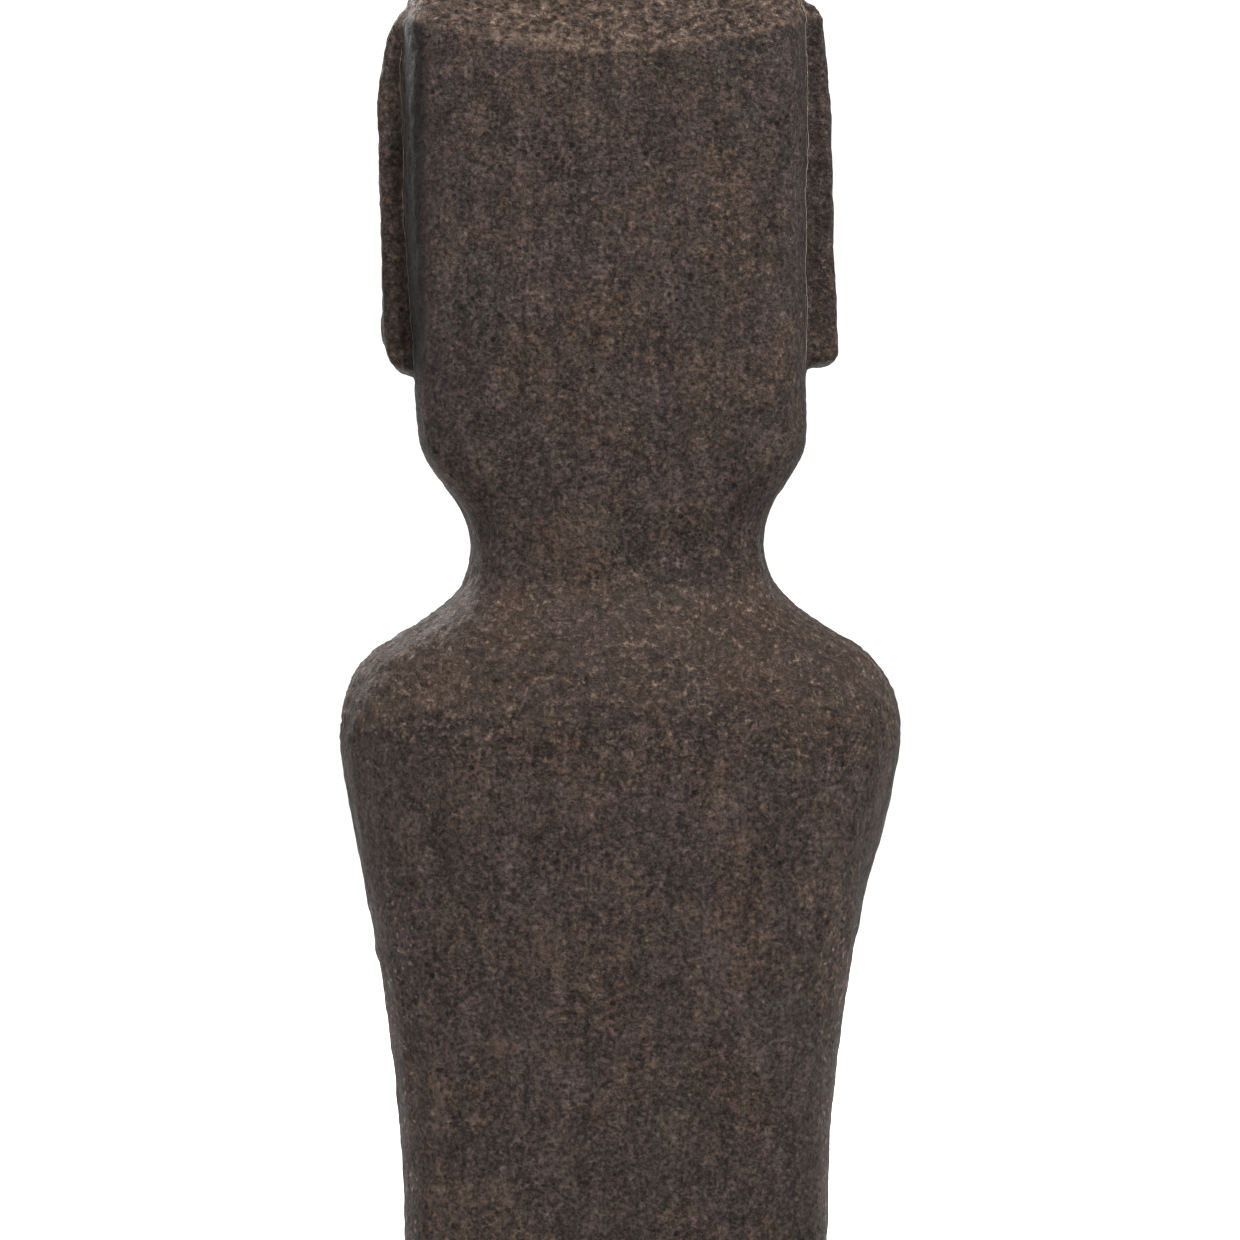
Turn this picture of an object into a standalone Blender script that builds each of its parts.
"""Standing island ancestor figure: long ears, heavy brow, arms laid along the body.

It is a hollow casting of stone paste and glass fibre, laid up in a back half and a front half. The halves
are joined by a bead of mortar with a fibre tape behind it. A welded steel rod frame stiffens the neck, held
to the back half by mortar pads, and a board on rubber feet closes the bottom.

Metres, +Z up. The figure looks along -Y. The origin is on the ground, under the middle of the figure.
"""

import math
from collections import namedtuple

import bmesh
import bpy
import numpy as np
from mathutils import Matrix, Vector

# Driving dimensions
HEIGHT = 1.000
SHOULDER_WIDTH = 0.401
BACK_DEPTH = 0.125
WALL = 0.010
PART_PLANE = 0.046
JOINT_WIDTH = 0.004
GAP = 0.0003

FOOT_HEIGHT = 0.006
FOOT_RADIUS = 0.019
BOARD_THICKNESS = 0.012
BOARD_PLAY = 0.001
ROD_RADIUS = 0.004
DOME_FOOT = 0.940

# How finely round shapes are cut
BODY_SIDES = 40
CORE_SIDES = 28
LIMB_SIDES = 10
TURNED_SIDES = 14

FAR = 2.0

# The figure's outline at its main levels. Heights are shares of HEIGHT, half widths are shares of half of
# SHOULDER_WIDTH, and the depths behind and before the middle are shares of BACK_DEPTH. corner sets how
# square the oval is, shift moves it sideways, and sag lowers the middle of its back.
Level = namedtuple("Level", "height half_width back front corner shift sag", defaults=(0.0,))

FOOT = Level(0.003, 0.744, 0.856, 0.720, 4.5, 0.0035)
HIPS = Level(0.195, 0.776, 0.888, 0.784, 4.0, 0.0030)
WAIST = Level(0.325, 0.883, 0.960, 0.752, 3.6, 0.0025)
CHEST = Level(0.411, 0.980, 1.000, 0.720, 3.2, 0.0010)
SHOULDERS = Level(0.454, 1.000, 0.984, 0.696, 3.0, 0.0)
SHOULDER_TOPS = Level(0.498, 0.913, 0.896, 0.616, 2.8, 0.0)
NECK_ROOT = Level(0.541, 0.606, 0.760, 0.480, 2.8, 0.0010)
NECK = Level(0.573, 0.529, 0.700, 0.405, 3.3, 0.0020)
NECK_TOP = Level(0.603, 0.547, 0.703, 0.415, 3.6, 0.0030)
JAW_FOOT = Level(0.634, 0.663, 0.736, 0.624, 4.5, 0.0050)
JAW = Level(0.652, 0.687, 0.752, 0.656, 5.0, 0.0055)
LOBES = Level(0.700, 0.696, 0.800, 0.624, 5.0, 0.0070)
TEMPLES = Level(0.860, 0.713, 0.848, 0.584, 5.0, 0.0105)
FOREHEAD = Level(0.925, 0.716, 0.848, 0.640, 5.0, 0.0110, 0.006)
CROWN_EDGE = Level(0.955, 0.713, 0.840, 0.656, 5.0, 0.0110, 0.017)
CROWN_SLOPE = Level(0.978, 0.678, 0.496, 0.624, 4.4, 0.0100, 0.002)
CROWN_TOP = Level(1.000, 0.559, 0.144, 0.400, 3.8, 0.0100)

BODY_LEVELS = [
    FOOT, HIPS, WAIST, CHEST, SHOULDERS, SHOULDER_TOPS, NECK_ROOT, NECK, NECK_TOP, JAW_FOOT, JAW, LOBES,
    TEMPLES, FOREHEAD, CROWN_EDGE,
]
CROWN_LEVELS = [CROWN_EDGE, CROWN_SLOPE, CROWN_TOP]
STEPS_BETWEEN_LEVELS = 2

FACE_MIDDLE = 0.0095
CHIN_MIDDLE = 0.0060

# Levels of the parts inside
ROD_OFFSET = 0.055
ROD_PLANE = 0.056
ROD_FOOT = 0.100
ROD_TOP = 0.900
TIE_HEIGHTS = {"head": 0.860, "shoulder": 0.470, "hip": 0.140}
TIE_HALF_LENGTH = 0.075
PAD_HEIGHTS = {"head": 0.780, "neck": 0.585, "back": 0.250}
PAD_HALF_WIDTH = 0.013
PAD_HALF_HEIGHT = 0.026
PAD_GRIP = 0.011
TAPE_WIDTH = 0.030
TAPE_THICKNESS = 0.004
TAPE_FOOT = 0.075
BLOCK_HEIGHT = 0.040

BLOCK_PLACES = {
    "left": (0.128, 0.008),
    "right": (-0.121, 0.008),
    "back_left": (0.060, 0.084),
    "back_right": (-0.056, 0.084),
    "front_left": (0.060, -0.066),
    "front_right": (-0.056, -0.066),
}
FOOT_PLACES = {
    "front_left": (0.104, -0.046),
    "front_right": (-0.097, -0.046),
    "back_left": (0.104, 0.064),
    "back_right": (-0.097, 0.064),
}
WEEP_HOLES = [(0.040, 0.008), (-0.034, 0.008)]
WEEP_RADIUS = 0.006

Screw = namedtuple("Screw", "head_radius head_height shank_radius length")
BOARD_SCREW = Screw(0.0045, 0.0030, 0.0020, 0.040)
FOOT_SCREW = Screw(0.0045, 0.0030, 0.0020, 0.014)


# Materials

def paint(name, colour, roughness, metallic=0.0):
    material = bpy.data.materials.new(name)
    material.use_nodes = True
    shader = material.node_tree.nodes["Principled BSDF"]
    shader.inputs["Base Color"].default_value = (*colour, 1.0)
    shader.inputs["Roughness"].default_value = roughness
    shader.inputs["Metallic"].default_value = metallic
    return material


# Shapes

def node_object(name, bm, material=None, place=(0, 0, 0), smooth=False):
    """A mesh object made from bm, with its normals pointing out."""
    bmesh.ops.recalc_face_normals(bm, faces=bm.faces)
    mesh = bpy.data.meshes.new(name)
    bm.to_mesh(mesh)
    bm.free()
    if smooth:
        mesh.shade_smooth()
        mesh.set_sharp_from_angle(angle=math.radians(40))
    made = bpy.data.objects.new(name, mesh)
    made.location = place
    bpy.context.scene.collection.objects.link(made)
    if material:
        mesh.materials.append(material)
    return made


def as_helper(made):
    """Marks a cutter or a shape that is joined to another, which is no part of its own."""
    made.hide_render = True
    made.display_type = "WIRE"
    return made


def signed_power(value, power):
    return math.copysign(abs(value) ** power, value)


def smooth_levels(levels):
    """The levels with more between them, each on a cubic curve in height through its neighbours."""
    fine = []
    last = len(levels) - 1
    for i in range(last):
        before, low, high, after = (levels[max(0, min(last, i + k))] for k in (-1, 0, 1, 2))
        span = high.height - low.height
        for step in range(STEPS_BETWEEN_LEVELS):
            t = step / STEPS_BETWEEN_LEVELS
            values = []
            for earlier, start, end, later in zip(before, low, high, after):
                leave = (end - earlier) / (high.height - before.height) * span
                arrive = (later - start) / (after.height - low.height) * span
                held = (2 * t**3 - 3 * t**2 + 1) * start + (3 * t**2 - 2 * t**3) * end
                values.append(held + (t**3 - 2 * t**2 + t) * leave + (t**3 - t**2) * arrive)
            fine.append(Level(*values))
    return fine + [levels[-1]]


OUTLINE = smooth_levels(BODY_LEVELS)[:-1] + smooth_levels(CROWN_LEVELS)


def ring_points(level, inset, sides, drop=0.0):
    """One level of the figure, drawn in by inset and lowered by drop."""
    half_width = level.half_width * SHOULDER_WIDTH / 2 - inset
    points = []
    for i in range(sides):
        turn = 2 * math.pi * (i + 0.5) / sides
        across = signed_power(math.cos(turn), 2 / level.corner)
        depth = signed_power(math.sin(turn), 2 / level.corner)
        reach = (level.back if depth > 0 else level.front) * BACK_DEPTH - inset
        sag = level.sag * (1 - across**2) * max(0.0, depth)
        height = level.height * HEIGHT - sag - drop
        points.append(Vector((level.shift + half_width * across, reach * depth, height)))
    return points


def loft(name, rings, material=None):
    """A closed skin through rings of equal count, flat at both ends. Every quad splits the same way."""
    bm = bmesh.new()
    lines = [[bm.verts.new(point) for point in ring] for ring in rings]
    for low, high in zip(lines, lines[1:]):
        for i in range(len(low)):
            after = (i + 1) % len(low)
            bm.faces.new((low[i], low[after], high[after], high[i]))
    bmesh.ops.triangulate(bm, faces=bm.faces[:], quad_method="FIXED")
    bm.faces.new(reversed(lines[0]))
    bm.faces.new(lines[-1])
    return node_object(name, bm, material, smooth=True)


def hollow_rings(inset):
    """The inner face of the casting, drawn in by inset from the outline and lowered under the crown."""
    rings = []
    for level in OUTLINE[:-1]:
        drop = inset if level.height * HEIGHT > DOME_FOOT else 0.0
        rings.append(ring_points(level, inset, CORE_SIDES, drop))
    return rings


def cavity(name, inset):
    """The hollow of the casting, open below."""
    rings = hollow_rings(inset)
    below = [point - Vector((0, 0, 2 * inset)) for point in rings[0]]
    return as_helper(loft(name, [below] + rings))


def width_at(height):
    """Half the figure's width and its sideways shift at a height."""
    heights = [level.height * HEIGHT for level in OUTLINE]
    half_width = np.interp(height, heights, [level.half_width * SHOULDER_WIDTH / 2 for level in OUTLINE])
    shift = np.interp(height, heights, [level.shift for level in OUTLINE])
    return float(half_width), float(shift)


def box(name, low, high, material=None):
    bm = bmesh.new()
    size = Vector(high) - Vector(low)
    middle = (Vector(high) + Vector(low)) / 2
    bmesh.ops.create_cube(bm, size=1.0, matrix=Matrix.Diagonal((*size, 1)))
    return node_object(name, bm, material, middle)


def carved_block(name, foot, head, heights, bevel):
    """A block whose foot and head are (left, right, front, back), with its edges rounded off."""
    bm = bmesh.new()
    bmesh.ops.create_cube(bm, size=1.0)
    for vert in bm.verts:
        left, right, front, back = foot if vert.co.z < 0 else head
        vert.co.x = right if vert.co.x > 0 else left
        vert.co.y = back if vert.co.y > 0 else front
        vert.co.z = heights[1] if vert.co.z > 0 else heights[0]
    bmesh.ops.bevel(bm, geom=bm.edges[:], offset=bevel, segments=2, profile=0.5, affect="EDGES", material=-1)
    return as_helper(node_object(name, bm))


def knob(name, middle, radii):
    """A rounded boss with three half sizes."""
    bm = bmesh.new()
    shape = Matrix.Diagonal((*radii, 1))
    bmesh.ops.create_uvsphere(bm, u_segments=12, v_segments=8, radius=1.0, matrix=shape)
    return as_helper(node_object(name, bm, place=middle, smooth=True))


def limb(name, path):
    """A limb of round section through (point, radius) pairs, each ring square to the path."""
    points = [Vector(point) for point, _ in path]
    rings = []
    for i, (_, radius) in enumerate(path):
        along = (points[min(i + 1, len(points) - 1)] - points[max(i - 1, 0)]).normalized()
        side = along.cross(Vector((0, 1, 0))).normalized()
        up = side.cross(along)
        ring = []
        for k in range(LIMB_SIDES):
            turn = 2 * math.pi * k / LIMB_SIDES
            ring.append(points[i] + radius * (math.cos(turn) * side + math.sin(turn) * up))
        rings.append(ring)
    return as_helper(loft(name, rings))


def turned(name, profile, place, material=None):
    """A turned piece about its own +Z through place, from (radius, height) pairs that end on the axis."""
    bm = bmesh.new()
    line = [bm.verts.new((radius, 0, height)) for radius, height in profile]
    edges = [bm.edges.new(pair) for pair in zip(line, line[1:])]
    bmesh.ops.spin(
        bm, geom=line + edges, cent=(0, 0, 0), axis=(0, 0, 1), dvec=(0, 0, 0),
        angle=2 * math.pi, steps=TURNED_SIDES, use_merge=True,
    )
    bmesh.ops.remove_doubles(bm, verts=bm.verts, dist=1e-6)
    return node_object(name, bm, material, place, smooth=True)


def rod(name, start, end, radius, material=None):
    """A straight round bar."""
    start, end = Vector(start), Vector(end)
    bm = bmesh.new()
    bmesh.ops.create_cone(
        bm, cap_ends=True, segments=TURNED_SIDES, radius1=radius, radius2=radius, depth=(end - start).length
    )
    made = node_object(name, bm, material, (start + end) / 2, smooth=True)
    made.rotation_euler = (end - start).to_track_quat("Z", "Y").to_euler()
    return made


def change(made, operation, other):
    """Cuts made with other, joins them, or keeps what they share. other is an object or a collection."""
    modifier = made.modifiers.new(other.name, "BOOLEAN")
    modifier.operation = operation
    modifier.solver = "EXACT"
    if isinstance(other, bpy.types.Collection):
        modifier.operand_type = "COLLECTION"
        modifier.collection = other
    else:
        modifier.object = other


def collect(name, members):
    """A collection of helpers that one Boolean joins at a stroke."""
    group = bpy.data.collections.new(name)
    bpy.context.scene.collection.children.link(group)
    for member in members:
        bpy.context.scene.collection.objects.unlink(member)
        group.objects.link(member)
    return group


# The casting

def face():
    """Brow, nose, mouth and chin, standing out from the flat front of the head."""
    mid = FACE_MIDDLE
    low = CHIN_MIDDLE
    root = -0.050
    return [
        carved_block(
            "cheeks", (mid - 0.108, mid + 0.108, -0.087, root), (mid - 0.117, mid + 0.117, -0.084, root),
            (0.686, 0.905), 0.014,
        ),
        carved_block(
            "brow", (mid - 0.122, mid + 0.122, -0.101, root), (mid - 0.129, mid + 0.129, -0.099, root),
            (0.893, 0.932), 0.010,
        ),
        carved_block(
            "nose", (mid - 0.036, mid + 0.036, -BACK_DEPTH, root), (mid - 0.020, mid + 0.020, -0.096, root),
            (0.757, 0.915), 0.009,
        ),
        knob("left_nostril", (mid + 0.031, -0.096, 0.774), (0.017, 0.021, 0.017)),
        knob("right_nostril", (mid - 0.031, -0.096, 0.774), (0.017, 0.021, 0.017)),
        carved_block(
            "mouth", (mid - 0.066, mid + 0.066, -0.097, root), (mid - 0.052, mid + 0.052, -0.090, root),
            (0.684, 0.752), 0.012,
        ),
        carved_block(
            "upper_lip", (mid - 0.050, mid + 0.050, -0.107, root), (mid - 0.046, mid + 0.046, -0.104, root),
            (0.7215, 0.737), 0.005,
        ),
        carved_block(
            "lower_lip", (mid - 0.045, mid + 0.045, -0.103, root), (mid - 0.048, mid + 0.048, -0.106, root),
            (0.702, 0.7175), 0.005,
        ),
        carved_block(
            "jaw", (low - 0.094, low + 0.094, -0.090, root), (low - 0.118, low + 0.118, -0.088, root),
            (0.633, 0.706), 0.014,
        ),
        carved_block(
            "chin", (low - 0.056, low + 0.056, -0.104, root), (low - 0.066, low + 0.066, -0.101, root),
            (0.637, 0.686), 0.012,
        ),
    ]


def ears():
    """Two long slabs with heavy lobes, from the crown to the jaw. The right one is set a little higher."""
    return [
        carved_block(
            "left_ear", (0.110, 0.1675, -0.040, 0.042), (0.110, 0.1700, -0.034, 0.037), (0.708, 0.953), 0.010
        ),
        carved_block(
            "right_ear", (-0.1560, -0.100, -0.040, 0.042), (-0.1530, -0.100, -0.034, 0.037), (0.7145, 0.963),
            0.010,
        ),
    ]


def arms():
    """Each arm lies along the corner of the body, then the forearm crosses to a long flat hand."""
    made = []
    clear = 0.002
    upper_arm = [  # height, radius, depth
        (0.458, 0.024, -0.036), (0.435, 0.033, -0.042), (0.385, 0.031, -0.050), (0.320, 0.028, -0.056),
        (0.250, 0.026, -0.062), (0.185, 0.025, -0.066), (0.145, 0.023, -0.068),
    ]
    forearm = [  # distance from the middle, height, depth, radius
        (0.126, 0.166, -0.072, 0.022), (0.108, 0.146, -0.084, 0.020), (0.084, 0.130, -0.091, 0.017),
        (0.060, 0.118, -0.094, 0.015), (0.036, 0.110, -0.095, 0.014), (0.012, 0.104, -0.095, 0.011),
    ]
    for side, sign in (("left", 1), ("right", -1)):
        path = []
        for height, radius, depth in upper_arm:
            half_width, shift = width_at(height)
            path.append(((shift + sign * (half_width - radius - clear), depth, height), radius))
        made.append(limb(side + "_arm", path))
        path = []
        for across, height, depth, radius in forearm:
            path.append(((shift + sign * across, depth, height), radius))
        made.append(limb(side + "_forearm", path))
    return made


def body_marks():
    """Navel and nipples, low bosses on the front of the body."""
    return [
        knob("navel", (0.003, -0.096, 0.184), (0.011, 0.009, 0.011)),
        knob("left_nipple", (0.080, -0.088, 0.392), (0.010, 0.009, 0.010)),
        knob("right_nipple", (-0.078, -0.088, 0.392), (0.010, 0.009, 0.010)),
    ]


def eye_sockets():
    """Shallow hollows under the brow, either side of the nose."""
    return [
        knob("left_socket", (FACE_MIDDLE + 0.066, -0.098, 0.866), (0.043, 0.027, 0.027)),
        knob("right_socket", (FACE_MIDDLE - 0.066, -0.098, 0.866), (0.043, 0.027, 0.027)),
    ]


def casting(stone, mortar, tape):
    """The two cast halves, the mortar bead between them and the fibre tape behind it."""
    skin = [ring_points(level, 0.0, BODY_SIDES) for level in OUTLINE]
    hollow = cavity("hollow", WALL)
    relief = collect("relief", face() + ears() + arms() + body_marks())
    sockets = collect("sockets", eye_sockets())
    half_joint = JOINT_WIDTH / 2
    front_side = as_helper(box("front_side", (-FAR, -FAR, -FAR), (FAR, PART_PLANE - half_joint, FAR)))
    back_side = as_helper(box("back_side", (-FAR, PART_PLANE + half_joint, -FAR), (FAR, FAR, FAR)))
    bead_front, bead_back = PART_PLANE - half_joint + GAP, PART_PLANE + half_joint - GAP
    between = as_helper(box("between", (-FAR, bead_front, -FAR), (FAR, bead_back, FAR)))

    front_shell = loft("front_shell", skin, stone)
    change(front_shell, "UNION", relief)
    change(front_shell, "DIFFERENCE", sockets)
    back_shell = loft("back_shell", skin, stone)
    seam_mortar = loft("seam_mortar", skin, mortar)
    for piece, side in ((front_shell, front_side), (back_shell, back_side), (seam_mortar, between)):
        change(piece, "DIFFERENCE", hollow)
        change(piece, "INTERSECT", side)

    seam_tape = loft("seam_tape", hollow_rings(WALL + GAP), tape)
    change(seam_tape, "DIFFERENCE", cavity("tape_inside", WALL + GAP + TAPE_THICKNESS))
    half_tape = TAPE_WIDTH / 2
    strip = box("tape_strip", (-FAR, PART_PLANE - half_tape, TAPE_FOOT), (FAR, PART_PLANE + half_tape, FAR))
    change(seam_tape, "INTERSECT", as_helper(strip))


# The frame inside

def rod_frame(steel, mortar):
    """Two upright rods, three bars welded across them, and the mortar pads that hold them at the back."""
    wall_face = cavity("wall_face", WALL + GAP)
    for side, sign in (("left", 1), ("right", -1)):
        across = sign * ROD_OFFSET
        foot, top = (across, ROD_PLANE, ROD_FOOT), (across, ROD_PLANE, ROD_TOP)
        rod(side + "_upright_rod", foot, top, ROD_RADIUS, steel)
        clearance = as_helper(
            rod(side + "_rod_space", (across, ROD_PLANE, 0), (across, ROD_PLANE, HEIGHT), ROD_RADIUS + GAP)
        )
        for place, height in PAD_HEIGHTS.items():
            pad = box(
                f"{side}_{place}_pad",
                (across - PAD_HALF_WIDTH, ROD_PLANE - PAD_GRIP, height - PAD_HALF_HEIGHT),
                (across + PAD_HALF_WIDTH, BACK_DEPTH, height + PAD_HALF_HEIGHT), mortar,
            )
            change(pad, "INTERSECT", wall_face)
            change(pad, "DIFFERENCE", clearance)
    plane = ROD_PLANE - 2 * ROD_RADIUS - GAP
    for place, height in TIE_HEIGHTS.items():
        start, end = (-TIE_HALF_LENGTH, plane, height), (TIE_HALF_LENGTH, plane, height)
        rod(place + "_tie_bar", start, end, ROD_RADIUS, steel)


# The bottom

def screw_profile(screw, grown=0.0):
    """Half outline of a countersunk screw that points up, from the middle of its head to its tip."""
    head = screw.head_radius + grown
    shank = screw.shank_radius + grown
    length = screw.length + grown
    point = 2 * screw.shank_radius
    under_head = screw.head_height + grown
    return [(0, -grown), (head, -grown), (shank, under_head), (shank, length - point), (0, length)]


def drive_screw(name, screw, place, steel):
    """A countersunk screw with a square drive socket, and the space that its neighbours leave for it."""
    made = turned(name, screw_profile(screw), place, steel)
    reach = screw.head_height / 2
    socket = 0.4 * screw.head_radius
    corner = Vector((socket, socket, reach))
    drive = box(name + "_socket", Vector(place) - corner, Vector(place) + corner)
    change(made, "DIFFERENCE", as_helper(drive))
    return as_helper(turned(name + "_space", screw_profile(screw, GAP), place))


def board_outline(height):
    """The board's edge, which clears the inner wall all round."""
    level = OUTLINE[0]._replace(height=height / HEIGHT)
    return ring_points(level, WALL + BOARD_PLAY, CORE_SIDES)


def bottom(board_material, timber, rubber, steel):
    """The closing board, the timber blocks that its screws bite into, and four rubber feet."""
    board_low = FOOT_HEIGHT + GAP
    board_high = board_low + BOARD_THICKNESS
    board = loft("base_board", [board_outline(board_low), board_outline(board_high)], board_material)
    wall_face = cavity("block_wall_face", WALL + GAP)
    spaces = []
    for place, (across, depth) in BLOCK_PLACES.items():
        at = (across, depth, board_low + GAP)
        space = drive_screw("board_screw_" + place, BOARD_SCREW, at, steel)
        spaces.append(space)
        reach = (0.013, 0.020) if place in ("left", "right") else (0.020, 0.013)
        block = box(
            "fixing_block_" + place, (across - reach[0], depth - reach[1], board_high + GAP),
            (across + reach[0], depth + reach[1], board_high + GAP + BLOCK_HEIGHT), timber,
        )
        change(block, "INTERSECT", wall_face)
        change(block, "DIFFERENCE", space)
    sunk = 0.0015
    for place, (across, depth) in FOOT_PLACES.items():
        space = drive_screw("foot_screw_" + place, FOOT_SCREW, (across, depth, sunk), steel)
        spaces.append(space)
        edge = 0.001
        profile = [(0, 0), (FOOT_RADIUS - edge, 0), (FOOT_RADIUS, edge), (FOOT_RADIUS - edge, FOOT_HEIGHT),
                   (0, FOOT_HEIGHT)]
        foot = turned("rubber_foot_" + place, profile, (across, depth, 0), rubber)
        change(foot, "DIFFERENCE", space)
        head_room = FOOT_SCREW.head_radius + GAP
        sink = rod("foot_sink_" + place, (across, depth, -sunk), (across, depth, sunk), head_room)
        change(foot, "DIFFERENCE", as_helper(sink))
    for i, (across, depth) in enumerate(WEEP_HOLES):
        drill = rod(f"weep_drill_{i}", (across, depth, 0), (across, depth, 2 * board_high), WEEP_RADIUS)
        spaces.append(as_helper(drill))
    change(board, "DIFFERENCE", collect("board_holes", spaces))


def main():
    for old in list(bpy.data.objects):
        bpy.data.objects.remove(old)
    stone = paint("weathered_stone_cast", (0.072, 0.054, 0.046), 0.80)
    mortar = paint("stone_mortar", (0.105, 0.085, 0.072), 0.90)
    tape = paint("glass_fibre_tape", (0.42, 0.40, 0.33), 0.70)
    steel = paint("bare_steel", (0.30, 0.28, 0.26), 0.55, 1.0)
    zinc = paint("zinc_plated_steel", (0.55, 0.54, 0.50), 0.40, 1.0)
    timber = paint("planed_timber", (0.42, 0.27, 0.14), 0.75)
    fibre_board = paint("fibre_cement_board", (0.30, 0.29, 0.27), 0.85)
    rubber = paint("black_rubber", (0.02, 0.02, 0.02), 0.80)
    casting(stone, mortar, tape)
    rod_frame(steel, mortar)
    bottom(fibre_board, timber, rubber, zinc)


main()
